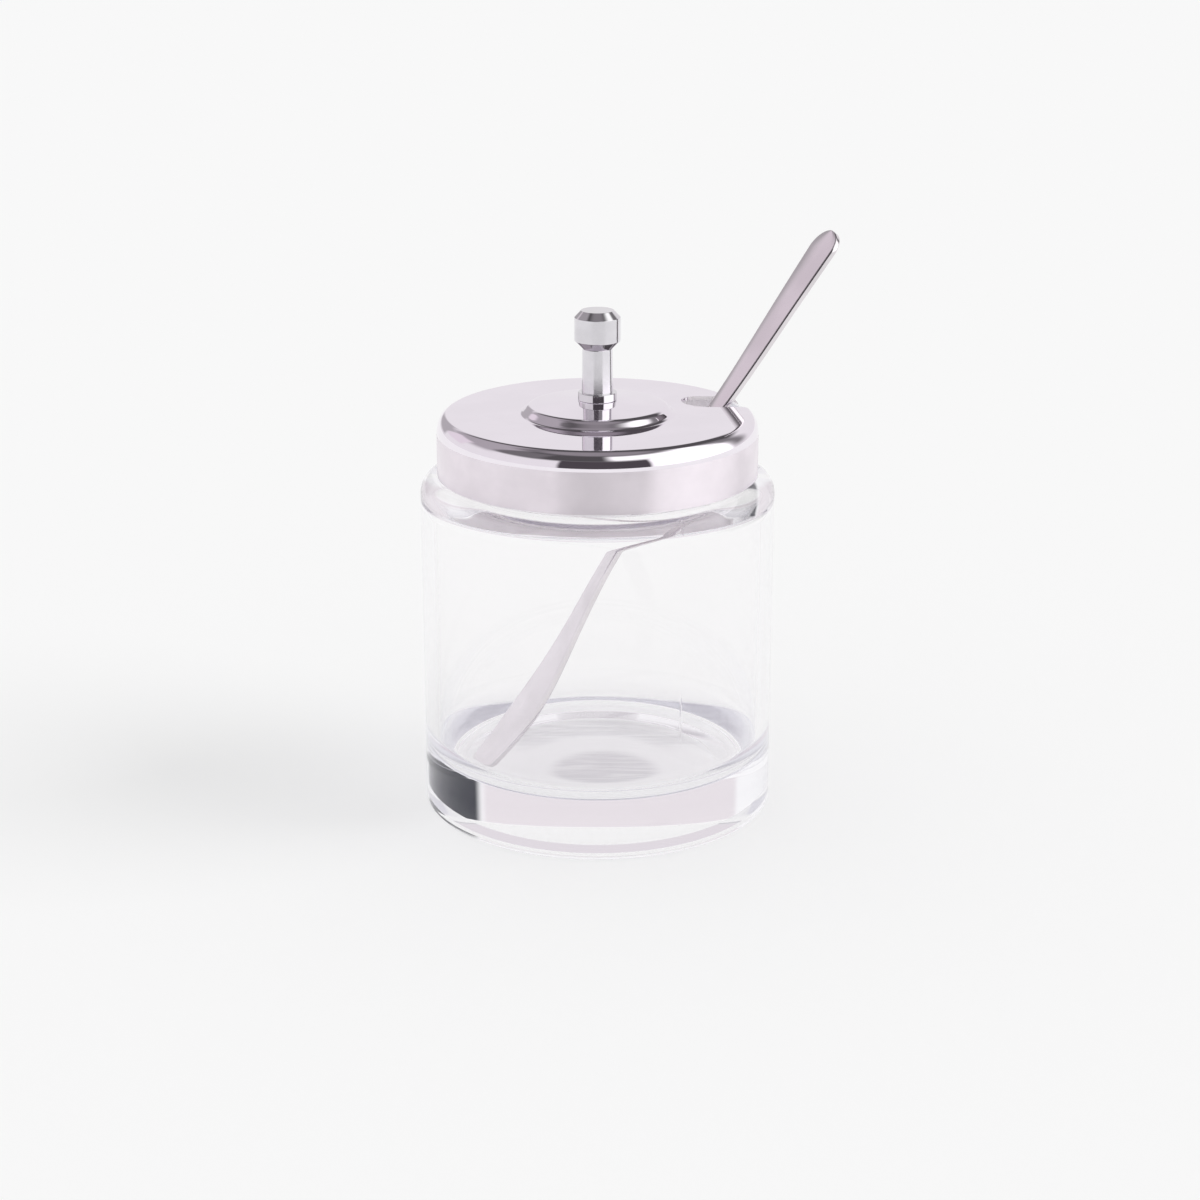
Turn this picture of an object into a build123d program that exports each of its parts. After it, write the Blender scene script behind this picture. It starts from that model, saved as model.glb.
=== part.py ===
"""Glass mustard pot with a slip-on metal lid and a paddle spoon.

Millimetres, +Z up. The origin is on the jar's axis, in the plane that the jar stands on.
+X points to the side where the spoon's handle leaves the lid.
"""

import os
from math import acos, atan2, cos, radians, sin, sqrt

from build123d import *

os.makedirs("parts", exist_ok=True)

# Glass jar
jar_radius = 31.0  # outside of the body
jar_wall = 2.4  # wall of the body
base_thickness = 9.4  # heavy base, from the table to the cavity floor
base_edge_radius = 1.3  # rounding round the foot
foot_ring_width = 4.5  # flat ring that the jar stands on
punt_depth = 0.4  # recess under the base
punt_slope_run = 4.0  # width of the slope between the ring and the recess
cavity_corner_radius = 5.5  # between the cavity's floor and its wall
shoulder_height = 60.4  # from the table to the root of the neck
shoulder_rise = 3.1  # height of the rounding under the neck
inner_shoulder_drop = 5.4  # from the root of the neck to where the cavity begins to close in
inner_shoulder_radius = 2.9  # hollow curve under the shoulder
throat_radius = 2.0  # rounding where the cavity turns up into the neck
neck_wall = 1.9  # glass at the neck
lip_land_width = 0.2  # flat ring on the lip, which the lid rests on
lip_land_inset = 0.05  # that ring stays inside the rounding of the lid

# Lid cap, pressed from sheet
lid_sheet = 0.6  # thickness of the sheet
lid_set_in = 3.0  # the skirt stands this far inside the side of the body
lid_rise = 10.85  # from the root of the neck to the lid's flat
lid_edge_radius = 2.15  # rounding between flat and skirt
lid_neck_clearance = 0.35  # radial, skirt over neck
skirt_shoulder_gap = 0.25  # skirt stays clear of the shoulder
boss_foot = 14.3  # radius of the raised centre at its foot
boss_slope_run = 1.1  # how far the side of the boss leans in
boss_height = 1.95  # rise of the boss at its edge
boss_crown = 0.35  # further rise of the boss at its centre
boss_edge_radius = 1.6  # rounding at the edge and at the foot of the boss
boss_eye = 6.0  # radius of the level seat that the crown rises to

# Spoon slot in the lid, open at the rim
slot_width = 7.9
slot_boss_gap = 0.5  # flat left between the foot of the boss and the end of the slot
slot_near_corner = 5.0  # rounding of the closed end, on the side of the middle
slot_far_gap = 0.87  # between the spoon and the far side of the slot

# Knob, turned
knob_height = 15.7
knob_head_radius = 4.0
knob_crown_radius = 2.85  # flat on top of the head
knob_head_side = 4.05  # straight side of the head
knob_chamfer = 1.2  # height of both chamfers of the head
knob_neck_radius = 2.62  # stem under the head
knob_stem_radius = 2.72  # stem at the foot
knob_flange_radius = 3.38
knob_flange_height = 1.4
knob_edge_radius = 0.12  # broken edges of the flange

# Screw and washer under the lid
screw_radius = 1.5
screw_thread_clearance = 0.02  # radial, shank in the tapped hole
screw_hole_clearance = 0.15  # radial, shank in the lid and the washer
screw_engagement = 5.0  # length of shank inside the knob
screw_tap_run_out = 1.0  # tapped hole beyond the end of the screw
screw_head_radius = 2.8
screw_head_height = 2.0
screw_head_edge = 0.8  # bevel of the pan head
screw_slot_width = 0.8
screw_slot_depth = 1.0
screw_slot_length = 3.6
washer_radius = 3.5
washer_thickness = 0.5

# Spoon, pressed from sheet
spoon_sheet = 1.2
spoon_length = 112.6
spoon_azimuth = 24.3  # degrees from +X to the plane that the spoon leans in
spoon_offset = -1.6  # that plane's distance from the jar's axis
spoon_tip_gap = 5.0  # from the tip to the cavity wall, along that plane
spoon_lean = 2.5  # straight line from tip to end, inside the neck, at the height of the lid
spoon_floor_gap = 0.25  # lowest edge of the blade over the cavity floor
tip_width = 6.7
tip_corner_radius = 0.9
blade_width = 8.55
blade_widest_at = 13.5  # stations are measured from the tip along the spoon
blade_taper_width = 5.9  # part way up the taper of the blade
blade_taper_at = 24.5
waist_width = 3.5
waist_at = 40.0
handle_mid_width = 4.85
handle_mid_at = 76.0
handle_width = 7.7
# Bow of the upper face about the straight line from tip to end
blade_dip = 1.12
blade_dip_at = 14.0
waist_bow = 1.42
waist_bow_at = 43.0
handle_dip = 0.05
handle_dip_at = 77.0
handle_dip_end = 95.0

# Values that follow from the ones above
cavity_radius = jar_radius - jar_wall
lid_radius = jar_radius - lid_set_in
lid_top = shoulder_height + lid_rise
neck_radius = lid_radius - lid_sheet - lid_neck_clearance
neck_bore = neck_radius - neck_wall
lip_height = lid_top - lid_sheet
lip_land_outer = lid_radius - lid_edge_radius - lip_land_inset
lip_outer_chamfer = neck_radius - lip_land_outer
lip_inner_chamfer = lip_land_outer - lip_land_width - neck_bore
boss_edge_height = lid_top + boss_height
boss_edge_reach = boss_foot - boss_slope_run
slot_end_reach = boss_foot + slot_boss_gap
knob_seat = boss_edge_height + boss_crown
screw_head_top = knob_seat - lid_sheet - washer_thickness

# The shoulder is one arc from the side of the body to the root of the neck.
shoulder_base = shoulder_height - shoulder_rise
shoulder_run = jar_radius - neck_radius
shoulder_radius = (shoulder_run**2 + shoulder_rise**2) / (2 * shoulder_run)
skirt_reach = lid_radius - (jar_radius - shoulder_radius)
skirt_bottom = shoulder_base + sqrt(shoulder_radius**2 - skirt_reach**2) + skirt_shoulder_gap

# The hollow under the shoulder is two arcs that meet at this angle.
inner_shoulder_start = shoulder_height - inner_shoulder_drop
hollow_step = cavity_radius - neck_bore
hollow_reach = inner_shoulder_radius + throat_radius
hollow_angle = acos(1 - hollow_step / hollow_reach)
hollow_end = inner_shoulder_start + hollow_reach * sin(hollow_angle)
hollow_joint = (
    cavity_radius - inner_shoulder_radius * (1 - cos(hollow_angle)),
    inner_shoulder_start + inner_shoulder_radius * sin(hollow_angle),
)

# The spoon leans from the floor of the cavity to the inside of the neck.
spoon_turn = radians(spoon_azimuth)
spoon_tip_reach = cavity_radius - spoon_tip_gap
spoon_run = spoon_tip_reach + neck_bore - spoon_lean
tip_slope = atan2(lid_top - base_thickness, spoon_run) - atan2(blade_dip, blade_dip_at)
tip_height = base_thickness + spoon_floor_gap + spoon_sheet * cos(tip_slope)
spoon_slope = atan2(lid_top - tip_height, spoon_run)
lean_way = Vector(cos(spoon_turn), sin(spoon_turn), 0)
side_way = Vector(-sin(spoon_turn), cos(spoon_turn), 0)
along = lean_way * cos(spoon_slope) + Vector(0, 0, sin(spoon_slope))
tip_point = lean_way * -spoon_tip_reach + side_way * spoon_offset + Vector(0, 0, tip_height)
side_plane = Plane(origin=tip_point, x_dir=along, z_dir=side_way * -1)
face_plane = Plane(origin=tip_point, x_dir=along, z_dir=side_plane.y_dir)

# The far side of the slot follows the outer edge of the spoon where it crosses the lid.
cross_run = neck_bore - spoon_lean + (handle_dip + spoon_sheet) / sin(spoon_slope)
cross_side = spoon_offset + handle_mid_width / 2
slot_far = cross_run * sin(spoon_turn) + cross_side * cos(spoon_turn) + slot_far_gap
slot_near = slot_far - slot_width


# Jar: one turned profile, outside up over the lip and back down inside
with BuildPart() as glass_jar:
    with BuildSketch(Plane.XZ):
        with BuildLine():
            ring_inner = jar_radius - base_edge_radius - foot_ring_width
            punt = Polyline((0, punt_depth), (ring_inner - punt_slope_run, punt_depth), (ring_inner, 0))
            foot = Line(punt @ 1, (jar_radius - base_edge_radius, 0))
            foot_edge = RadiusArc(foot @ 1, (jar_radius, base_edge_radius), -base_edge_radius)
            side = Line(foot_edge @ 1, (jar_radius, shoulder_base))
            shoulder = TangentArc(side @ 1, (neck_radius, shoulder_height), tangent=(0, 1))
            lip = Polyline(
                shoulder @ 1,
                (neck_radius, lip_height - lip_outer_chamfer),
                (lip_land_outer, lip_height),
                (lip_land_outer - lip_land_width, lip_height),
                (neck_bore, lip_height - lip_inner_chamfer),
                (neck_bore, hollow_end),
            )
            throat = RadiusArc(lip @ 1, hollow_joint, -throat_radius)
            hollow = RadiusArc(
                throat @ 1, (cavity_radius, inner_shoulder_start), inner_shoulder_radius
            )
            wall_side = Line(hollow @ 1, (cavity_radius, base_thickness + cavity_corner_radius))
            floor_edge = (cavity_radius - cavity_corner_radius, base_thickness)
            corner = RadiusArc(wall_side @ 1, floor_edge, cavity_corner_radius)
            Polyline(corner @ 1, (0, base_thickness), punt @ 0)
        make_face()
    revolve(axis=Axis.Z)

glass_jar.part.label = "glass_jar"
export_step(glass_jar.part, "parts/glass_jar.step")


# Lid: the sheet's profile from the knob's hole to the bottom of the skirt, given its thickness
hole_radius = screw_radius + screw_hole_clearance
with BuildPart() as lid_cap:
    with BuildSketch(Plane.XZ):
        with BuildLine() as press:
            seat = Line((hole_radius, knob_seat), (boss_eye, knob_seat))
            boss_edge = (boss_edge_reach, boss_edge_height)
            crown = TangentArc(seat @ 1, boss_edge, tangent=(1, 0))
            rim = (lid_radius, lid_top)
            Polyline(crown @ 1, (boss_foot, lid_top), rim, (lid_radius, skirt_bottom))
            for bend, radius in [
                (boss_edge, boss_edge_radius),
                ((boss_foot, lid_top), boss_edge_radius),
                (rim, lid_edge_radius),
            ]:
                fillet(press.vertices().sort_by_distance(bend)[0], radius=radius)
            offset(amount=lid_sheet, side=Side.RIGHT)
        make_face()
    revolve(axis=Axis.Z)
    # Slot for the spoon, cut through the flat and the skirt
    with BuildSketch(Plane.XY.offset(skirt_bottom - lid_sheet)):
        with BuildLine():
            slot_far_corner = slot_width - slot_near_corner
            slot_mouth = lid_radius + lid_sheet
            near_side = Line((slot_mouth, slot_near), (slot_end_reach + slot_near_corner, slot_near))
            end_middle = (slot_end_reach, slot_near + slot_near_corner)
            near_turn = RadiusArc(near_side @ 1, end_middle, slot_near_corner)
            far_start = (slot_end_reach + slot_far_corner, slot_far)
            far_turn = RadiusArc(near_turn @ 1, far_start, slot_far_corner)
            Polyline(far_turn @ 1, (slot_mouth, slot_far), near_side @ 0)
        make_face()
    extrude(amount=lid_top - skirt_bottom + 2 * lid_sheet, mode=Mode.SUBTRACT)

lid_cap.part.label = "lid_cap"
export_step(lid_cap.part, "parts/lid_cap.step")

# Knob: turned from bar, tapped from below
with BuildPart() as knob:
    with BuildSketch(Plane.XZ):
        with BuildLine():
            knob_top = knob_seat + knob_height
            flange_top = knob_seat + knob_flange_height
            head_bottom = knob_top - knob_chamfer - knob_head_side
            neck_level = head_bottom - (knob_head_radius - knob_neck_radius)
            Polyline(
                (0, knob_seat),
                (knob_flange_radius - knob_edge_radius, knob_seat),
                (knob_flange_radius, knob_seat + knob_edge_radius),
                (knob_flange_radius, flange_top - knob_edge_radius),
                (knob_flange_radius - knob_edge_radius, flange_top),
                (knob_stem_radius, flange_top),
                (knob_neck_radius, neck_level),
                (knob_head_radius, head_bottom),
                (knob_head_radius, knob_top - knob_chamfer),
                (knob_crown_radius, knob_top),
                (0, knob_top),
                (0, knob_seat),
            )
        make_face()
    revolve(axis=Axis.Z)
    tapped_radius = screw_radius + screw_thread_clearance
    with Locations(Plane(origin=(0, 0, knob_seat), z_dir=(0, 0, -1))):
        Hole(radius=tapped_radius, depth=screw_engagement + screw_tap_run_out)

knob.part.label = "knob"
export_step(knob.part, "parts/knob.step")

# Washer between the lid and the head of the screw
with BuildPart() as knob_washer:
    with BuildSketch(Plane.XY.offset(screw_head_top)):
        Circle(washer_radius)
        Circle(hole_radius, mode=Mode.SUBTRACT)
    extrude(amount=washer_thickness)

knob_washer.part.label = "knob_washer"
export_step(knob_washer.part, "parts/knob_washer.step")

# Screw that holds the knob from under the lid, with a pan head and a driver's slot
with BuildPart() as knob_screw:
    with BuildSketch(Plane.XY.offset(screw_head_top)):
        Circle(screw_radius)
    extrude(amount=washer_thickness + lid_sheet + screw_engagement)
    with BuildSketch(Plane.XY.offset(screw_head_top)):
        Circle(screw_head_radius)
    extrude(amount=-screw_head_height)
    head_rim = knob_screw.edges().filter_by(GeomType.CIRCLE).group_by(Axis.Z)[0]
    chamfer(head_rim, length=screw_head_edge)
    with BuildSketch(Plane.XY.offset(screw_head_top - screw_head_height)):
        Rectangle(screw_slot_length, screw_slot_width)
        Rectangle(screw_slot_width, screw_slot_length)
    extrude(amount=screw_slot_depth, mode=Mode.SUBTRACT)

knob_screw.part.label = "knob_screw"
export_step(knob_screw.part, "parts/knob_screw.step")

# Spoon: the bent sheet seen from the side, trimmed to the blank's outline seen from above
spoon_bow = [
    (0, 0),
    (blade_dip_at, -blade_dip),
    (waist_bow_at, waist_bow),
    (handle_dip_at, -handle_dip),
    (handle_dip_end, -handle_dip),
    (spoon_length, 0),
]
with BuildPart() as spoon:
    with BuildSketch(side_plane):
        with BuildLine():
            bow_top = Spline(*spoon_bow)
            bow_low = Spline(*[(at, bow - spoon_sheet) for at, bow in spoon_bow])
            Line(bow_top @ 0, bow_low @ 0)
            Line(bow_top @ 1, bow_low @ 1)
        make_face()
    extrude(amount=blade_width, both=True)
    with BuildSketch(face_plane) as blank:
        with BuildLine():
            end_radius = handle_width / 2
            tip_edge = Line((0, 0), (0, tip_width / 2))
            belly = Spline(
                tip_edge @ 1, (blade_widest_at, blade_width / 2), tangents=((1, 0.22), (1, 0))
            )
            taper = Spline(
                belly @ 1,
                (blade_taper_at, blade_taper_width / 2),
                (waist_at, waist_width / 2),
                tangents=((1, 0), (1, 0)),
            )
            handle_edge = Spline(
                taper @ 1,
                (handle_mid_at, handle_mid_width / 2),
                (spoon_length - end_radius, end_radius),
                tangents=((1, 0), (1, 0.01)),
            )
            RadiusArc(handle_edge @ 1, (spoon_length, 0), end_radius)
            mirror(about=Plane.XZ)
        make_face()
        fillet(blank.vertices().group_by(Axis.X)[0], radius=tip_corner_radius)
    extrude(amount=blade_width, both=True, mode=Mode.INTERSECT)

spoon.part.label = "spoon"
export_step(spoon.part, "parts/spoon.step")
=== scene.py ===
"""Looks of a glass mustard pot with a slip-on metal lid, a turned knob and a paddle spoon.

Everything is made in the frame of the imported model: +Z up, origin under the middle of the jar.
Sizes are written in millimetres and turned into metres where a mesh is made.
"""

import logging
import math
from dataclasses import dataclass, field
from enum import Enum
from typing import ClassVar

import bmesh
import bpy
import numpy as np
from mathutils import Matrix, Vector


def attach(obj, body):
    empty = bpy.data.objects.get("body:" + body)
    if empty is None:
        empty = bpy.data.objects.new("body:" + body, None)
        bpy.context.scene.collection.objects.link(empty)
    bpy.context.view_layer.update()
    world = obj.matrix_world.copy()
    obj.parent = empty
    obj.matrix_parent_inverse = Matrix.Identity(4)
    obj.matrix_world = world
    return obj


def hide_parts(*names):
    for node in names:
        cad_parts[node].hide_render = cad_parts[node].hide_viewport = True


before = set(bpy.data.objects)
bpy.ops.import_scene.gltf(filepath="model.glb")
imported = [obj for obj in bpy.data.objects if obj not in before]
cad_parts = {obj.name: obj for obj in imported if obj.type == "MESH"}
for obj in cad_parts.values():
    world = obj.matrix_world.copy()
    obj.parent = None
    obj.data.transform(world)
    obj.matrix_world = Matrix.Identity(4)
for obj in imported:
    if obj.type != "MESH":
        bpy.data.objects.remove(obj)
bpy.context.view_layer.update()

MM = 0.001
LOG = logging.getLogger("mustard_pot")

Point = tuple[float, float]
Colour = tuple[float, float, float]
Socket = bpy.types.NodeSocket


class Graph:
    """A short way to add and join the nodes of one material or world."""

    turns_in_glass: ClassVar[float] = 2.5
    bounces_in_all: ClassVar[float] = 9.5

    def __init__(self, tree: bpy.types.NodeTree) -> None:
        """Empties the tree.

        Args:
            tree: the node tree to work in.
        """
        self.tree = tree
        tree.nodes.clear()

    def node(self, kind: str, **settings: object) -> bpy.types.Node:
        """Adds a node.

        Args:
            kind: Blender's name for the node type.
            settings: properties to set on it.

        Returns:
            The new node.
        """
        made = self.tree.nodes.new(kind)
        for name, value in settings.items():
            setattr(made, name, value)
        return made

    def feed(self, socket: Socket, value: object) -> None:
        """Links an output to a socket, or writes a constant into it.

        Args:
            socket: the input to fill.
            value: another node's output, or a plain value.
        """
        if isinstance(value, Socket):
            self.tree.links.new(value, socket)
        else:
            socket.default_value = value

    def math(self, operation: str, *values: object) -> Socket:
        """Adds a Math node.

        Args:
            operation: the node's operation.
            values: its inputs, in order.

        Returns:
            The node's output.
        """
        made = self.node("ShaderNodeMath", operation=operation)
        for socket, value in zip(made.inputs, values):
            self.feed(socket, value)
        return made.outputs[0]

    def times(self, first: object, second: object) -> Socket:
        """Multiplies two values."""
        return self.math("MULTIPLY", first, second)

    def step(
        self, value: object, low: float, high: float, first: float = 0.0, last: float = 1.0
    ) -> Socket:
        """Maps a value from one range to another with a soft step.

        Args:
            value: what is mapped.
            low: where the step begins.
            high: where the step ends.
            first: result below the step.
            last: result above the step.

        Returns:
            The mapped value.
        """
        made = self.node("ShaderNodeMapRange", interpolation_type="SMOOTHSTEP")
        for socket, given in zip(made.inputs, (value, low, high, first, last)):
            self.feed(socket, given)
        return made.outputs[0]

    def mix(self, share: object, first: object, second: object) -> Socket:
        """Mixes two colours.

        Args:
            share: how much of the second colour.
            first: a colour or an output.
            second: a colour or an output.

        Returns:
            The mixed colour.
        """
        made = self.node("ShaderNodeMix", data_type="RGBA")
        # Inputs 6 and 7 and output 2 are the node's colours.
        self.feed(made.inputs[0], share)
        for socket, value in ((made.inputs[6], first), (made.inputs[7], second)):
            self.feed(socket, value if isinstance(value, Socket) else (*value, 1.0))
        return made.outputs[2]

    def noise(self, vector: object, scale: float, detail: float = 3.0) -> Socket:
        """Adds a noise texture.

        Args:
            vector: where it is sampled.
            scale: its frequency.
            detail: its octaves.

        Returns:
            The noise, from 0 to 1.
        """
        made = self.node("ShaderNodeTexNoise")
        self.feed(made.inputs["Vector"], vector)
        made.inputs["Scale"].default_value = scale
        made.inputs["Detail"].default_value = detail
        return made.outputs[0]

    def place(self) -> tuple[Socket, Socket, Socket]:
        """Gives the shaded point in the pot's own frame, in millimetres.

        Returns:
            Its X, Y and Z.
        """
        scaled = self.node("ShaderNodeVectorMath", operation="SCALE")
        self.feed(scaled.inputs[0], self.node("ShaderNodeTexCoord").outputs["Object"])
        scaled.inputs["Scale"].default_value = 1 / MM
        parts = self.node("ShaderNodeSeparateXYZ")
        self.feed(parts.inputs[0], scaled.outputs[0])
        return tuple(parts.outputs)

    def vector(self, x: object, y: object, z: object) -> Socket:
        """Joins three values into a vector.

        Args:
            x: its first value.
            y: its second value.
            z: its third value.

        Returns:
            The vector.
        """
        made = self.node("ShaderNodeCombineXYZ")
        for socket, value in zip(made.inputs, (x, y, z)):
            self.feed(socket, value)
        return made.outputs[0]

    def round_and_up(self) -> tuple[Socket, Socket, Socket]:
        """Gives the shaded point as a turner measures it.

        Returns:
            Angle round the axis in radians, distance from the axis and height, in millimetres.
        """
        x, y, z = self.place()
        return self.math("ARCTAN2", y, x), self.distance(x, y), z

    def distance(self, x: object, y: object) -> Socket:
        """Gives the length of a vector in the plane."""
        return self.math("SQRT", self.math("ADD", self.times(x, x), self.times(y, y)))

    def trapped(self) -> Socket:
        """Tells whether a ray has turned so often inside the glass that it is let straight out.

        Returns:
            1 for such a ray, 0 for any other.
        """
        path = self.node("ShaderNodeLightPath")
        turned = self.math("GREATER_THAN", path.outputs["Glossy Depth"], self.turns_in_glass)
        long = self.math("GREATER_THAN", path.outputs["Ray Depth"], self.bounces_in_all)
        return self.math("MAXIMUM", turned, long)

    def bump(self, height: object, depth: float) -> Socket:
        """Turns a height into a bumped normal.

        Args:
            height: from 0 to 1.
            depth: what a height of 1 stands for, in millimetres.

        Returns:
            The normal.
        """
        made = self.node("ShaderNodeBump")
        made.inputs["Strength"].default_value = 1.0
        made.inputs["Distance"].default_value = depth * MM
        self.feed(made.inputs["Height"], height)
        return made.outputs[0]


class Grain(Enum):
    """Which way the fine lines of a metal surface run."""

    ROUND = "round the axis, at one height"
    RINGS = "round the axis, on a flat face"
    ALONG = "along the spoon"
    PLAIN = "no direction"


@dataclass(frozen=True)
class Metal:
    """A bright metal finish."""

    round_lines: ClassVar[Point] = (2.5, 9.0)
    ring_lines: ClassVar[Point] = (1.2, 7.0)
    streak: ClassVar[tuple[float, float, float]] = (9.0, 0.25, 0.25)
    line_scale: ClassVar[float] = 1.6
    line_detail: ClassVar[float] = 5.0
    line_contrast: ClassVar[tuple[float, ...]] = (0.3, 0.75, 0.85, 1.2)
    cloud_scale: ClassVar[float] = 0.11
    cloud_detail: ClassVar[float] = 4.0
    cloud_contrast: ClassVar[Point] = (0.35, 0.7)
    cloud_gain: ClassVar[float] = 2.2
    stretch_turn: ClassVar[float] = 0.25

    name: str
    tint: Colour
    roughness: float
    grain: Grain
    grain_depth: float = 0.0004
    stretch: float = 0.0
    cloud: float = 0.04
    metallic: float = 1.0

    def lines(self, graph: Graph, place: Socket) -> Socket:
        """Stretches the place on the surface along the metal's fine lines.

        Args:
            graph: the material's nodes.
            place: the shaded point, in millimetres.

        Returns:
            Where the noise of the lines is sampled.
        """
        angle, reach, height = graph.round_and_up()
        if self.grain is Grain.ROUND:
            along, across = self.round_lines
            return graph.vector(graph.times(angle, along), 0.0, graph.times(height, across))
        if self.grain is Grain.RINGS:
            along, across = self.ring_lines
            return graph.vector(graph.times(angle, along), graph.times(reach, across), 0.0)
        if self.grain is Grain.ALONG:
            turned = graph.node("ShaderNodeMapping", vector_type="TEXTURE")
            graph.feed(turned.inputs["Vector"], place)
            turned.inputs["Rotation"].default_value = (0.0, -Spoon.slope, Spoon.turn)
            turned.inputs["Scale"].default_value = self.streak
            return turned.outputs[0]
        return place

    def material(self) -> bpy.types.Material:
        """Makes the material.

        Returns:
            A material with fine lines and faint clouding.
        """
        made = bpy.data.materials.new(self.name)
        made.use_nodes = True
        graph = Graph(made.node_tree)
        place = graph.vector(*graph.place())
        fine = graph.noise(self.lines(graph, place), self.line_scale, self.line_detail)
        cloud = graph.noise(place, self.cloud_scale, self.cloud_detail)
        shader = graph.node("ShaderNodeBsdfPrincipled")
        darker = tuple(c * (1 - self.cloud_gain * self.cloud) for c in self.tint)
        cleaner = graph.step(cloud, *self.cloud_contrast)
        graph.feed(shader.inputs["Base Color"], graph.mix(cleaner, darker, self.tint))
        shader.inputs["Metallic"].default_value = self.metallic
        shader.inputs["Anisotropic"].default_value = self.stretch
        spread = graph.times(graph.step(fine, *self.line_contrast), self.roughness)
        graph.feed(shader.inputs["Roughness"], spread)
        graph.feed(shader.inputs["Normal"], graph.bump(fine, self.grain_depth))
        if self.stretch:
            tangent = graph.node("ShaderNodeTangent", direction_type="RADIAL", axis="Z")
            graph.feed(shader.inputs["Tangent"], tangent.outputs[0])
            shader.inputs["Anisotropic Rotation"].default_value = self.stretch_turn
        graph.feed(graph.node("ShaderNodeOutputMaterial").inputs[0], shader.outputs[0])
        return made


@dataclass(frozen=True)
class Glass:
    """Clear pressed glass with one faint mould seam."""

    name: str = "clear_glass"
    tint: Colour = (1.0, 0.997, 1.0)
    index: float = 1.5
    sheen: Colour = (0.8, 0.8, 0.84)
    seam_angle: float = math.radians(-63.0)
    seam_width: float = 0.006
    seam_depth: float = 0.02
    outer_skin: Point = (29.8, 30.4)
    ripple_depth: float = 0.002
    ripple_lines: Point = (3.0, 0.06)
    ripple_scale: float = 1.3
    shadow_tint: Colour = (0.97, 0.97, 0.975)
    spent_tint: Colour = (0.93, 0.93, 0.945)

    def material(self) -> bpy.types.Material:
        """Makes the material, which lets the light through to the floor.

        Returns:
            A clear refracting material.
        """
        made = bpy.data.materials.new(self.name)
        made.use_nodes = True
        graph = Graph(made.node_tree)
        angle, reach, height = graph.round_and_up()
        off = graph.math("ABSOLUTE", graph.math("SUBTRACT", angle, self.seam_angle))
        seam = graph.step(off, 0.0, self.seam_width, 1.0, 0.0)
        seam = graph.times(seam, graph.step(reach, *self.outer_skin))
        round_way, up_way = self.ripple_lines
        waves = graph.vector(graph.times(angle, round_way), 0.0, graph.times(height, up_way))
        ripple = graph.noise(waves, self.ripple_scale, 1.0)
        ripple = graph.times(ripple, self.ripple_depth / self.seam_depth)
        shader = graph.node("ShaderNodeBsdfPrincipled")
        shader.inputs["Base Color"].default_value = (*self.tint, 1.0)
        shader.inputs["Roughness"].default_value = 0.0
        shader.inputs["IOR"].default_value = self.index
        shader.inputs["Transmission Weight"].default_value = 1.0
        shader.inputs["Specular Tint"].default_value = (*self.sheen, 1.0)
        graph.feed(shader.inputs["Normal"], graph.bump(graph.math("ADD", seam, ripple), self.seam_depth))
        clear = graph.node("ShaderNodeBsdfTransparent")
        trapped = graph.trapped()
        graph.feed(clear.inputs[0], graph.mix(trapped, self.shadow_tint, self.spent_tint))
        path = graph.node("ShaderNodeLightPath")
        soft = graph.math("MAXIMUM", path.outputs["Is Shadow Ray"], path.outputs["Is Diffuse Ray"])
        soft = graph.math("MAXIMUM", soft, trapped)
        both = graph.node("ShaderNodeMixShader")
        graph.feed(both.inputs[0], soft)
        graph.feed(both.inputs[1], shader.outputs[0])
        graph.feed(both.inputs[2], clear.outputs[0])
        graph.feed(graph.node("ShaderNodeOutputMaterial").inputs[0], both.outputs[0])
        return made


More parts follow.
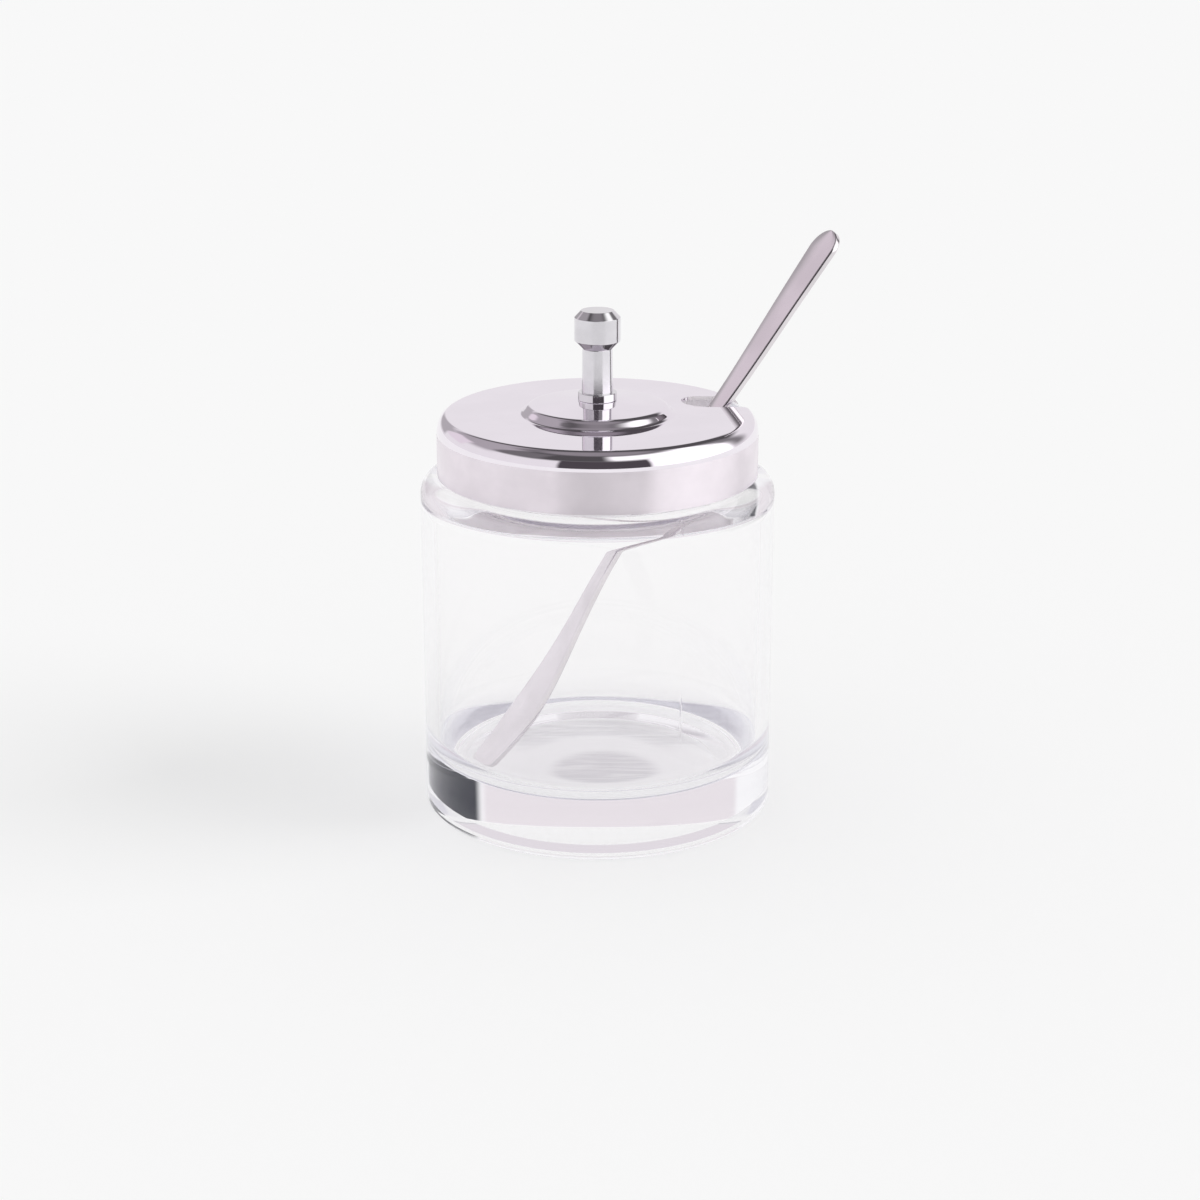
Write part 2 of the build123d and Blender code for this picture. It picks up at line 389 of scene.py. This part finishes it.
@dataclass
class Outline:
    """A lathe profile in millimetres, as radius and height, drawn in one stroke."""

    points: list[Point] = field(default_factory=list)
    heading: Point = (1.0, 0.0)
    turn_step: float = math.radians(4.0)
    guard: float = 0.12

    def start(self, reach: float, height: float) -> "Outline":
        """Sets the first point."""
        self.points = [(reach, height)]
        return self

    def line_to(self, reach: float, height: float) -> "Outline":
        """Draws a straight line, with guard points that keep its shading flat.

        Args:
            reach: radius at its end.
            height: height at its end.

        Returns:
            The outline itself.
        """
        r0, z0 = self.points[-1]
        run, rise = reach - r0, height - z0
        length = math.hypot(run, rise)
        self.heading = (run / length, rise / length)
        if length > 4 * self.guard:
            for share in (self.guard / length, 0.5, 1 - self.guard / length):
                self.points.append((r0 + run * share, z0 + rise * share))
        self.points.append((reach, height))
        return self

    def curve_to(self, reach: float, height: float) -> "Outline":
        """Draws an arc that carries on in the direction of the last stroke.

        Args:
            reach: radius at its end.
            height: height at its end.

        Returns:
            The outline itself.
        """
        r0, z0 = self.points[-1]
        run, rise = reach - r0, height - z0
        ahead = run * self.heading[0] + rise * self.heading[1]
        aside = -run * self.heading[1] + rise * self.heading[0]
        if abs(aside) < 1e-9:
            return self.line_to(reach, height)
        radius = (run * run + rise * rise) / (2 * aside)
        sweep = 2 * math.atan2(aside, ahead)
        steps = max(3, math.ceil(abs(sweep) / self.turn_step))
        hr, hz = self.heading
        for i in range(1, steps + 1):
            turn = sweep * i / steps
            go, shift = radius * math.sin(turn), radius * (1 - math.cos(turn))
            self.points.append((r0 + go * hr - shift * hz, z0 + go * hz + shift * hr))
        self.heading = (
            math.cos(sweep) * hr - math.sin(sweep) * hz,
            math.cos(sweep) * hz + math.sin(sweep) * hr,
        )
        return self

    def oval_to(self, reach: float, height: float, steps: int = 20) -> "Outline":
        """Draws a quarter of an ellipse, from level to upright.

        Args:
            reach: radius at its end.
            height: height at its end.
            steps: points along it.

        Returns:
            The outline itself.
        """
        r0, z0 = self.points[-1]
        for i in range(1, steps + 1):
            a = math.pi / 2 * i / steps
            self.points.append((r0 + (reach - r0) * math.sin(a), z0 + (height - z0) * (1 - math.cos(a))))
        self.heading = (0.0, math.copysign(1.0, height - z0))
        return self

    def bends(self, corners: list[tuple[float, float, float]]) -> "Outline":
        """Draws straight lines with rounded corners.

        Args:
            corners: radius, height and rounding of each corner; the last one is the end.

        Returns:
            The outline itself.
        """
        for (r1, z1, rounding), (r2, z2, _) in zip(corners, corners[1:]):
            r0, z0 = self.points[-1]
            before = Vector((r0 - r1, z0 - z1)).normalized()
            after = Vector((r2 - r1, z2 - z1)).normalized()
            if rounding <= 0:
                self.line_to(r1, z1)
                continue
            back = rounding / math.tan(before.angle(after) / 2)
            self.line_to(r1 + before.x * back, z1 + before.y * back)
            self.curve_to(r1 + after.x * back, z1 + after.y * back)
        return self.line_to(*corners[-1][:2])

    def backed(self, thickness: float) -> list[Point]:
        """Closes an open line into the section of a sheet.

        Args:
            thickness: of the sheet, to the right of the stroke.

        Returns:
            The closed section.
        """
        line = np.array(self.points)
        ahead = np.zeros_like(line)
        ahead[0], ahead[-1] = line[1] - line[0], line[-1] - line[-2]
        for i in range(1, len(line) - 1):
            a, b = line[i] - line[i - 1], line[i + 1] - line[i]
            ahead[i] = a / np.linalg.norm(a) + b / np.linalg.norm(b)
        ahead /= np.linalg.norm(ahead, axis=1)[:, None]
        right = np.stack([ahead[:, 1], -ahead[:, 0]], axis=1)
        inner = line + right * thickness
        return [tuple(p) for p in line] + [tuple(p) for p in inner[::-1]]


def smooth(mesh: bpy.types.Mesh, sharp: float) -> None:
    """Shades a mesh smooth, but for its crisp edges."""
    mesh.shade_smooth()
    mesh.set_sharp_from_angle(angle=math.radians(sharp))


def finish_mesh(name: str, body: bmesh.types.BMesh, sharp: float = 32.0) -> bpy.types.Object:
    """Turns a bmesh in metres into a smooth-shaded object.

    Args:
        name: of the object.
        body: the mesh, which is freed.
        sharp: angle in degrees over which an edge stays crisp.

    Returns:
        The object, linked to the scene.
    """
    bmesh.ops.recalc_face_normals(body, faces=body.faces)
    mesh = bpy.data.meshes.new(name)
    body.to_mesh(mesh)
    body.free()
    smooth(mesh, sharp)
    made = bpy.data.objects.new(name, mesh)
    bpy.context.scene.collection.objects.link(made)
    return made


def lathe(section: list[Point], segments: int) -> bmesh.types.BMesh:
    """Turns a closed section round the Z axis.

    Args:
        section: radius and height of its points, in millimetres.
        segments: steps round the axis.

    Returns:
        The mesh, in metres.
    """
    body = bmesh.new()
    rings = []
    for reach, height in section:
        if reach < 1e-6:
            rings.append([body.verts.new((0.0, 0.0, height * MM))] * segments)
            continue
        ring = []
        for i in range(segments):
            a = 2 * math.pi * i / segments
            ring.append(body.verts.new((reach * math.cos(a) * MM, reach * math.sin(a) * MM, height * MM)))
        rings.append(ring)
    for lower, upper in zip(rings, rings[1:] + rings[:1]):
        for i in range(segments):
            j = (i + 1) % segments
            loop = [lower[i], lower[j], upper[j], upper[i]]
            corners = list(dict.fromkeys(loop))
            if len(corners) > 2:
                body.faces.new(corners)
    return body


def dress(piece: bpy.types.Object, *finishes: bpy.types.Material) -> None:
    """Gives an object its materials, in order.

    Args:
        piece: the object.
        finishes: the materials.
    """
    piece.data.materials.clear()
    for finish in finishes:
        piece.data.materials.append(finish)


@dataclass
class Jar:
    """The glass: a heavy base, a straight wall, a rounded shoulder and a neck."""

    radius: float = 31.0
    wall: float = 2.4
    floor: float = 9.4
    base_edge: float = 1.3
    ring_width: float = 4.5
    punt: float = 0.4
    punt_run: float = 4.0
    corner: float = 5.5
    shoulder: float = 60.4
    shoulder_rise: float = 3.1
    inner_shoulder: float = 55.0
    hollow: float = 2.9
    throat: float = 2.0
    neck: float = 27.05
    neck_wall: float = 1.9
    lip: float = 70.65
    lip_outer: float = 1.25
    lip_inner: float = 0.45
    segments: int = 288

    def outline(self) -> list[Point]:
        """Draws the section of the glass.

        Returns:
            The closed section, from the axis under the base round to the axis above it.
        """
        bore = self.neck - self.neck_wall
        cavity = self.radius - self.wall
        turn = math.acos(1 - (cavity - bore) / (self.hollow + self.throat))
        top = self.inner_shoulder + (self.hollow + self.throat) * math.sin(turn)
        joint = (
            cavity - self.hollow * (1 - math.cos(turn)),
            self.inner_shoulder + self.hollow * math.sin(turn),
        )
        foot = self.radius - self.base_edge
        line = Outline().start(0.0, self.punt)
        line.line_to(foot - self.ring_width - self.punt_run, self.punt)
        line.line_to(foot - self.ring_width, 0.0)
        line.line_to(foot, 0.0)
        line.curve_to(self.radius, self.base_edge)
        line.line_to(self.radius, self.shoulder - self.shoulder_rise)
        line.curve_to(self.neck, self.shoulder)
        line.line_to(self.neck, self.lip - self.lip_outer)
        line.curve_to(self.neck - self.lip_outer, self.lip)
        line.line_to(bore + self.lip_inner, self.lip)
        line.curve_to(bore, self.lip - self.lip_inner)
        line.line_to(bore, top)
        line.curve_to(*joint)
        line.curve_to(cavity, self.inner_shoulder)
        line.line_to(cavity, self.floor + self.corner)
        line.curve_to(cavity - self.corner, self.floor)
        line.line_to(0.0, self.floor)
        return line.points

    def build(self) -> bpy.types.Object:
        """Makes the glass and puts it in the place of its solid.

        Returns:
            The glass.
        """
        body = lathe(self.outline(), self.segments)
        piece = finish_mesh("jar_glass", body)
        dress(piece, Glass().material())
        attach(piece, "jar")
        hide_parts("glass_jar")
        return piece


class LidFace(Enum):
    """The lid's finishes, by their place on the object."""

    POLISHED = 0
    BRUSHED = 1
    INSIDE = 2


@dataclass
class Lid:
    """The pressed lid: a skirt, a flat with a raised centre, and the slot for the spoon."""

    sheet: float = 0.6
    radius: float = 28.0
    top: float = 71.25
    skirt_bottom: float = 60.736
    edge: float = 2.15
    edge_drop: float = 3.2
    seat: float = 73.55
    eye: float = 3.7
    boss_reach: float = 12.0
    boss_rise: float = 1.4
    boss_foot: float = 13.3
    boss_edge: float = 1.6
    boss_root: float = 1.2
    hole: float = 1.65
    slot_near: float = 3.689
    slot_far: float = 11.589
    slot_reach: float = 14.8
    near_corner: float = 5.0
    cut_past: float = 2.0
    cut_over: float = 1.0
    looks_down: float = -0.2
    skin: float = 0.1
    sharp: float = 32.0
    segments: int = 288
    polish: Metal = Metal(
        "lid_polish", (0.93, 0.88, 0.94), 0.035, Grain.RINGS, grain_depth=0.0003, cloud=0.015
    )
    inside: Metal = Metal(
        "lid_inside", (0.96, 0.91, 0.94), 0.5, Grain.PLAIN, grain_depth=0.001, cloud=0.03, metallic=0.0
    )
    brushed: Metal = Metal(
        "lid_brushed", (0.93, 0.865, 0.92), 0.33, Grain.ROUND, grain_depth=0.001, stretch=0.88
    )

    def section(self) -> list[Point]:
        """Draws the section of the sheet.

        Returns:
            The closed section.
        """
        line = Outline().start(self.hole, self.seat)
        line.bends(
            [
                (self.eye, self.seat, 1.0),
                (self.boss_reach, self.top + self.boss_rise, self.boss_edge),
                (self.boss_foot, self.top, self.boss_root),
                (self.radius - self.edge, self.top, 0.0),
            ]
        )
        line.oval_to(self.radius, self.top - self.edge_drop)
        line.line_to(self.radius, self.skirt_bottom)
        return line.backed(self.sheet)

    @staticmethod
    def quarter(middle: Point, radius: float, first: float, steps: int) -> list[Point]:
        """Draws a quarter of a circle, clockwise.

        Args:
            middle: of the circle.
            radius: of the circle.
            first: direction of its first point from the middle, in degrees.
            steps: along it.

        Returns:
            Its points, in order.
        """
        turns = [math.radians(first - 90 * i / steps) for i in range(steps + 1)]
        return [(middle[0] + radius * math.cos(a), middle[1] + radius * math.sin(a)) for a in turns]

    def face_of(self, face: bpy.types.MeshPolygon) -> LidFace:
        """Tells which finish a face has.

        Args:
            face: of the lid.

        Returns:
            Its finish.
        """
        middle = face.center / MM
        reach = math.hypot(middle.x, middle.y)
        outward = face.normal.x * middle.x + face.normal.y * middle.y
        under = middle.z < self.top - self.sheet / 2
        within = under and reach < self.radius - self.sheet / 2 and outward < 0.0
        if within or face.normal.z < self.looks_down:
            return LidFace.INSIDE
        if middle.z < self.top - self.edge_drop and reach > self.radius - self.skin:
            return LidFace.BRUSHED
        return LidFace.POLISHED

    def slot_cutter(self) -> bpy.types.Object:
        """Makes the block that cuts the slot.

        Returns:
            A closed object that is removed once it is used.
        """
        far_corner = self.slot_far - self.slot_near - self.near_corner
        near_middle = (self.slot_reach + self.near_corner, self.slot_near + self.near_corner)
        far_middle = (self.slot_reach + far_corner, self.slot_far - far_corner)
        mouth = self.radius + self.cut_past
        ring = [(mouth, self.slot_near)]
        ring += self.quarter(near_middle, self.near_corner, 270, 24)
        ring += self.quarter(far_middle, far_corner, 180, 16)[1:]
        ring.append((mouth, self.slot_far))
        body = bmesh.new()
        bottom, top = self.skirt_bottom - self.cut_past, self.top + self.cut_over
        low = [body.verts.new((x * MM, y * MM, bottom * MM)) for x, y in ring]
        high = [body.verts.new((x * MM, y * MM, top * MM)) for x, y in ring]
        body.faces.new(low)
        body.faces.new(high)
        for i in range(len(ring)):
            j = (i + 1) % len(ring)
            body.faces.new([low[i], low[j], high[j], high[i]])
        return finish_mesh("slot_cutter", body)

    def build(self) -> bpy.types.Object:
        """Makes the lid and puts it in the place of its solid.

        Returns:
            The lid.
        """
        whole = finish_mesh("lid_whole", lathe(self.section(), self.segments))
        cutter = self.slot_cutter()
        cut = whole.modifiers.new("slot", "BOOLEAN")
        cut.operation = "DIFFERENCE"
        cut.solver = "EXACT"
        cut.object = cutter
        ready = whole.evaluated_get(bpy.context.evaluated_depsgraph_get())
        mesh = bpy.data.meshes.new_from_object(ready)
        for used in (whole, cutter):
            bpy.data.objects.remove(used)
        mesh.name = "lid_shell"
        smooth(mesh, self.sharp)
        piece = bpy.data.objects.new("lid_shell", mesh)
        bpy.context.scene.collection.objects.link(piece)
        dress(piece, self.polish.material(), self.brushed.material(), self.inside.material())
        for face in mesh.polygons:
            face.material_index = self.face_of(face).value
        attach(piece, "lid")
        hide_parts("lid_cap")
        return piece


@dataclass
class Knob:
    """The turned knob, and the screw and washer that hold it from below."""

    seat: float = 73.55
    height: float = 15.7
    head: float = 4.0
    crown: float = 2.85
    head_side: float = 4.05
    chamfer: float = 1.2
    neck: float = 2.62
    stem: float = 2.72
    flange: float = 3.38
    flange_height: float = 1.4
    edge: float = 0.12
    fine_edge: float = 0.08
    neck_edge: float = 0.25
    head_edge: float = 0.1
    level: float = 0.2
    above_shelf: float = 0.1
    sharp: float = 25.0
    segments: int = 160
    turned: Metal = Metal(
        "knob_turned_chrome",
        (0.84, 0.82, 0.86),
        0.17,
        Grain.ROUND,
        grain_depth=0.0022,
        stretch=0.85,
        cloud=0.08,
    )
    polish: Metal = Metal("knob_polish", (0.80, 0.79, 0.81), 0.05, Grain.RINGS, grain_depth=0.0008)
    steel: Metal = Metal("fastener_steel", (0.62, 0.62, 0.64), 0.28, Grain.PLAIN, grain_depth=0.004)

    def section(self) -> list[Point]:
        """Draws the knob's section.

        Returns:
            The closed section, from the axis out and up to the axis again.
        """
        top = self.seat + self.height
        shelf = self.seat + self.flange_height
        head_bottom = top - self.chamfer - self.head_side
        neck_level = head_bottom - (self.head - self.neck)
        line = Outline(guard=0.05).start(0.0, self.seat)
        return line.bends(
            [
                (self.flange, self.seat, self.edge),
                (self.flange, shelf, self.edge),
                (self.stem, shelf, self.fine_edge),
                (self.neck, neck_level, self.neck_edge),
                (self.head, head_bottom, self.head_edge),
                (self.head, top - self.chamfer, self.fine_edge),
                (self.crown, top, self.fine_edge),
                (0.0, top, 0.0),
            ]
        ).points

    def build(self) -> bpy.types.Object:
        """Makes the knob, puts it in the place of its solid and dresses the fasteners.

        Returns:
            The knob.
        """
        piece = finish_mesh("knob_turned", lathe(self.section(), self.segments), self.sharp)
        dress(piece, self.polish.material(), self.turned.material())
        lowest = self.seat + self.flange_height + self.above_shelf
        for face in piece.data.polygons:
            side = abs(face.normal.z) < self.level and face.center.z / MM > lowest
            face.material_index = int(side)
        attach(piece, "lid")
        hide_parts("knob")
        steel = self.steel.material()
        for name in ("knob_screw", "knob_washer"):
            dress(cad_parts[name], steel)
        return piece


@dataclass
class Spoon:
    """The pressed spoon: a paddle blade, a waist and a handle with a round end."""

    turn: ClassVar[float] = math.radians(24.3)
    slope: ClassVar[float] = math.radians(52.743)
    tip: tuple[float, float, float] = (-20.851, -11.170, 10.443)
    length: float = 112.6
    sheet: float = 1.2
    edge: float = 0.26
    tip_corner: float = 0.9
    end_radius: float = 3.85
    crown: float = 0.12
    narrowest: float = 0.02
    widths: tuple[Point, ...] = (
        (0.0, 6.7),
        (13.5, 8.55),
        (24.5, 5.9),
        (40.0, 3.5),
        (76.0, 4.85),
        (108.75, 7.7),
    )
    bow: tuple[Point, ...] = (
        (0.0, 0.0),
        (14.0, -1.12),
        (43.0, 1.42),
        (77.0, -0.05),
        (95.0, -0.05),
        (112.6, 0.0),
    )
    tip_steps: int = 8
    body_steps: int = 150
    end_steps: int = 26
    corner_steps: int = 4
    face_steps: int = 9
    last_turn: float = 0.02
    edge_share: float = 0.9
    sharp: float = 40.0
    polish: Metal = Metal("spoon_polish", (0.79, 0.75, 0.775), 0.07, Grain.ALONG, grain_depth=0.0016)

    @staticmethod
    def through(points: tuple[Point, ...], at: np.ndarray) -> np.ndarray:
        """Reads a smooth curve through some points.

        Args:
            points: station and value of each.
            at: the stations to read.

        Returns:
            The values there.
        """
        s, v = np.array(points).T
        n, gap = len(s), np.diff(s)
        left, right = np.zeros((n, n)), np.zeros(n)
        left[0, 0] = left[-1, -1] = 1.0
        for i in range(1, n - 1):
            left[i, i - 1 : i + 2] = gap[i - 1], 2 * (gap[i - 1] + gap[i]), gap[i]
            right[i] = 6 * ((v[i + 1] - v[i]) / gap[i] - (v[i] - v[i - 1]) / gap[i - 1])
        bend = np.linalg.solve(left, right)
        i = np.clip(np.searchsorted(s, at) - 1, 0, n - 2)
        a, b, h = s[i + 1] - at, at - s[i], gap[i]
        straight = (v[i] / h - bend[i] * h / 6) * a + (v[i + 1] / h - bend[i + 1] * h / 6) * b
        return straight + bend[i] * a**3 / (6 * h) + bend[i + 1] * b**3 / (6 * h)

    def half_width(self, at: np.ndarray) -> np.ndarray:
        """Gives half the blank's width.

        Args:
            at: stations from the tip, in millimetres.

        Returns:
            Half the width at each.
        """
        half = self.through(self.widths, np.minimum(at, self.widths[-1][0])) / 2
        centre = self.length - self.end_radius
        past = np.maximum(at - centre, 0.0)
        round_end = np.sqrt(np.maximum(self.end_radius**2 - past**2, 0.0))
        half = np.where(at > centre, round_end, half)
        before = np.clip(self.tip_corner - at, 0.0, self.tip_corner)
        return half - self.tip_corner + np.sqrt(self.tip_corner**2 - before**2)

    def build(self) -> bpy.types.Object:
        """Makes the spoon and puts it in the place of its solid.

        Returns:
            The spoon.
        """
        tip = self.tip_corner * (1 - np.cos(np.linspace(0, math.pi / 2, self.tip_steps)))
        turns = np.linspace(self.last_turn, math.pi / 2, self.end_steps)
        end = self.length - self.end_radius * (1 - np.sin(turns))
        middle = np.linspace(self.tip_corner, self.length - self.end_radius, self.body_steps)[1:-1]
        at = np.concatenate([tip, middle, end])
        half = np.maximum(self.half_width(at), self.narrowest)
        rise = self.through(self.bow, at)
        level = math.cos(self.slope)
        along = Vector((math.cos(self.turn) * level, math.sin(self.turn) * level, math.sin(self.slope)))
        side = Vector((-math.sin(self.turn), math.cos(self.turn), 0.0))
        up = side.cross(along) * -1
        body = bmesh.new()
        rings = []
        for s, w, e in zip(at, half, rise):
            spine = Vector(self.tip) + along * s
            spots = [spine + side * y + up * (e + z) for y, z in self.ring(w)]
            rings.append([body.verts.new(spot * MM) for spot in spots])
        for a, b in zip(rings, rings[1:]):
            for i in range(len(a)):
                j = (i + 1) % len(a)
                body.faces.new([a[i], a[j], b[j], b[i]])
        body.faces.new(rings[0])
        body.faces.new(rings[-1])
        piece = finish_mesh("spoon_pressed", body, self.sharp)
        dress(piece, self.polish.material())
        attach(piece, "spoon")
        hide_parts("spoon")
        return piece

    def ring(self, half: float) -> list[Point]:
        """Draws the cross-section at one station.

        Args:
            half: half the width there.

        Returns:
            Points across and up, from the upper face down, in millimetres.
        """
        edge = min(self.edge, half * self.edge_share)
        flat = half - edge
        upper, lower = -self.crown - edge, edge - self.sheet
        points = [(x, -self.crown * (x / half) ** 2) for x in np.linspace(-flat, flat, self.face_steps)]
        for turned, (x, z) in enumerate(((flat, upper), (flat, lower), (-flat, lower), (-flat, upper))):
            for a in np.linspace(0, math.pi / 2, self.corner_steps):
                way = math.pi / 2 * (1 - turned) - a
                points.append((x + edge * math.cos(way), z + edge * math.sin(way)))
        return points


@dataclass(frozen=True)
class Panel:
    """A patch of the studio, by direction in degrees.

    Azimuth 0 is towards the camera and 90 is to its right, as the camera sees it.
    """

    azimuth: Point
    elevation: Point
    colour: Colour
    soft: float = 3.0
    deepest: int = 0

    def share(self, graph: Graph, azimuth: Socket, elevation: Socket, depth: Socket) -> Socket:
        """Tells how much of the panel is seen in a direction.

        Args:
            graph: the world's nodes.
            azimuth: of the direction, in degrees.
            elevation: of the direction, in degrees.
            depth: how many bounces the ray has behind it.

        Returns:
            The panel's share, from 0 to 1.
        """
        share = 1.0
        for value, (low, high) in ((azimuth, self.azimuth), (elevation, self.elevation)):
            rising = graph.step(value, low - self.soft, low + self.soft)
            falling = graph.step(value, high - self.soft, high + self.soft, 1.0, 0.0)
            share = graph.times(graph.times(rising, falling), share)
        if self.deepest:
            share = graph.times(share, graph.math("LESS_THAN", depth, self.deepest + 0.5))
        return share


@dataclass
class Studio:
    """Pale floor with a painted shadow under the jar, soft light and the camera."""

    eye: tuple[float, float, float] = (0.432, -429.228, 178.508)
    pitch: float = 0.318677
    lens: float = 76.206
    sensor: float = 36.0
    clip: Point = (0.01, 50.0)
    floor_size: float = 6000.0
    floor_colour: Colour = (0.935, 0.935, 0.935)
    floor_gap: float = 0.1
    # The painted shadow under the jar: a grey patch, an arc at the back and streaks across both.
    patch: tuple[float, float, float] = (1.2, -3.8, 9.5)
    painted_shadow_colour: Colour = (0.66, 0.65, 0.67)
    patch_edge: Point = (2.0, 1.5)
    arc_inner: Point = (12.0, 15.0)
    arc_outer: Point = (20.0, 23.0)
    arc_back: Point = (4.0, 12.0)
    arc_strength: float = 0.8
    streaks: Point = (0.09, 0.9)
    streak_contrast: tuple[float, ...] = (0.3, 0.6, 0.35, 1.0)
    backdrop: Colour = (0.925, 0.925, 0.925)
    fill: float = 0.79
    key_strength: float = 1.25
    key_spread: float = 40.0
    key_from: tuple[float, float, float] = (0.85, -0.12, 0.55)
    room: Colour = (0.84, 0.82, 0.84)
    # What metal and glass mirror: a dark ceiling, greys at the left, the dark side of the camera
    # and soft boxes at the right.
    mirrored: tuple[Panel, ...] = (
        Panel((-200, 200), (30, 100), (0.085, 0.08, 0.085), 5),
        Panel((-200, 200), (68, 100), (0.28, 0.26, 0.28), 7),
        Panel((-155, -85), (24, 62), (0.42, 0.39, 0.42), 8),
        Panel((-85, -45), (30, 60), (0.17, 0.16, 0.17), 6),
        Panel((-166, -139), (2, 25), (0.46, 0.44, 0.46), 3),
        Panel((-139, -112), (10, 31), (0.79, 0.72, 0.78), 3),
        Panel((-28, 38), (-2, 32), (0.075, 0.065, 0.075), 2),
        Panel((40, 110), (-2, 36), (1.5, 1.5, 1.5), 4),
        Panel((10, 118), (35, 62), (1.3, 1.3, 1.3), 7),
        Panel((112, 130), (4, 50), (0.22, 0.21, 0.22), 8),
    )
    # What is seen through the glass, where the base gathers light from behind the pot.
    room_through: Colour = (0.955, 0.95, 0.975)
    through: tuple[Panel, ...] = (
        Panel((-200, 200), (46, 100), (0.60, 0.58, 0.61), 6),
        Panel((149, 200), (12, 36), (0.80, 0.75, 0.79), 2),
        Panel((-200, -137), (12, 36), (0.80, 0.75, 0.79), 2),
        Panel((100, 147), (8, 38), (0.008, 0.01, 0.02), 2, deepest=4),
    )

    def camera(self) -> None:
        """Makes the photograph's camera."""
        data = bpy.data.cameras.new("camera")
        data.lens, data.sensor_width = self.lens, self.sensor
        data.clip_start, data.clip_end = self.clip
        made = bpy.data.objects.new("camera", data)
        made.location = Vector(self.eye) * MM
        made.rotation_euler = (math.pi / 2 - self.pitch, 0.0, 0.0)
        bpy.context.scene.collection.objects.link(made)
        bpy.context.scene.camera = made

    def painted_shadow(self, graph: Graph) -> Socket:
        """Draws the painted shadow on the floor under the jar: a streaky grey patch and arc, painted in
        place of the shade under the thick base.

        Args:
            graph: the floor's nodes.

        Returns:
            How strong the painted shadow is, from 0 to 1.
        """
        x, y, _ = graph.place()
        middle_x, middle_y, size = self.patch
        within, past = self.patch_edge
        off = graph.distance(graph.math("SUBTRACT", x, middle_x), graph.math("SUBTRACT", y, middle_y))
        patch = graph.step(off, size - within, size + past, 1.0, 0.0)
        reach = graph.round_and_up()[1]
        arc = graph.times(graph.step(reach, *self.arc_inner), graph.step(reach, *self.arc_outer, 1.0, 0.0))
        arc = graph.times(arc, graph.step(y, *self.arc_back))
        grey = graph.math("MAXIMUM", patch, graph.times(arc, self.arc_strength))
        along, across = self.streaks
        streaks = graph.noise(graph.vector(graph.times(x, along), graph.times(y, across), 0.0), 1.0)
        return graph.times(grey, graph.step(streaks, *self.streak_contrast))

    def floor(self) -> None:
        """Lays the floor."""
        body = bmesh.new()
        bmesh.ops.create_grid(body, x_segments=2, y_segments=2, size=self.floor_size * MM / 2)
        bmesh.ops.translate(body, verts=body.verts, vec=(0.0, 0.0, -self.floor_gap * MM))
        made = finish_mesh("floor", body)
        look = bpy.data.materials.new("floor_paper")
        look.use_nodes = True
        graph = Graph(look.node_tree)
        shader = graph.node("ShaderNodeBsdfDiffuse")
        # The even floor colour, darkened by the painted shadow under the jar.
        graph.feed(shader.inputs[0], graph.mix(self.painted_shadow(graph), self.floor_colour, self.painted_shadow_colour))
        graph.feed(graph.node("ShaderNodeOutputMaterial").inputs[0], shader.outputs[0])
        dress(made, look)

    def world(self) -> None:
        """Paints the studio round the pot, and lights it evenly."""
        made = bpy.data.worlds.new("studio")
        bpy.context.scene.world = made
        made.use_nodes = True
        graph = Graph(made.node_tree)
        parts = graph.node("ShaderNodeSeparateXYZ")
        graph.feed(parts.inputs[0], graph.node("ShaderNodeTexCoord").outputs["Generated"])
        x, y, z = parts.outputs
        azimuth = graph.math("DEGREES", graph.math("ARCTAN2", x, graph.times(y, -1.0)))
        elevation = graph.math("DEGREES", graph.math("ARCSINE", z))
        path = graph.node("ShaderNodeLightPath")
        views = []
        for room, panels in ((self.room, self.mirrored), (self.room_through, self.through)):
            seen = graph.mix(0.0, room, room)
            for panel in panels:
                share = panel.share(graph, azimuth, elevation, path.outputs["Ray Depth"])
                seen = graph.mix(share, seen, panel.colour)
            views.append(seen)
        even = (self.fill,) * 3
        lit = graph.mix(path.outputs["Is Camera Ray"], even, self.backdrop)
        shown = graph.mix(path.outputs["Is Glossy Ray"], lit, views[0])
        shader = graph.node("ShaderNodeBackground")
        clear = graph.math("MAXIMUM", path.outputs["Is Transmission Ray"], graph.trapped())
        graph.feed(shader.inputs[0], graph.mix(clear, shown, views[1]))
        shader.inputs[1].default_value = 1.0
        graph.feed(graph.node("ShaderNodeOutputWorld").inputs[0], shader.outputs[0])

    def key(self) -> None:
        """Sets the soft key light, from the right."""
        data = bpy.data.lights.new("key", "SUN")
        data.energy = self.key_strength
        data.angle = math.radians(self.key_spread)
        made = bpy.data.objects.new("key", data)
        made.rotation_euler = Vector(self.key_from).to_track_quat("Z", "Y").to_euler()
        made.visible_glossy = made.visible_transmission = False
        bpy.context.scene.collection.objects.link(made)

    def build(self) -> None:
        """Makes the whole stage."""
        bpy.context.scene.view_settings.view_transform = "Standard"
        self.camera()
        self.floor()
        self.world()
        self.key()


def main() -> None:
    """Builds the stage and the pot, piece by piece."""
    logging.basicConfig(level=logging.INFO, format="%(name)s: %(message)s")
    Studio().build()
    for part in (Jar(), Lid(), Knob(), Spoon()):
        piece = part.build()
        LOG.info("%s has %d faces", piece.name, len(piece.data.polygons))


if __name__ == "__main__":
    main()
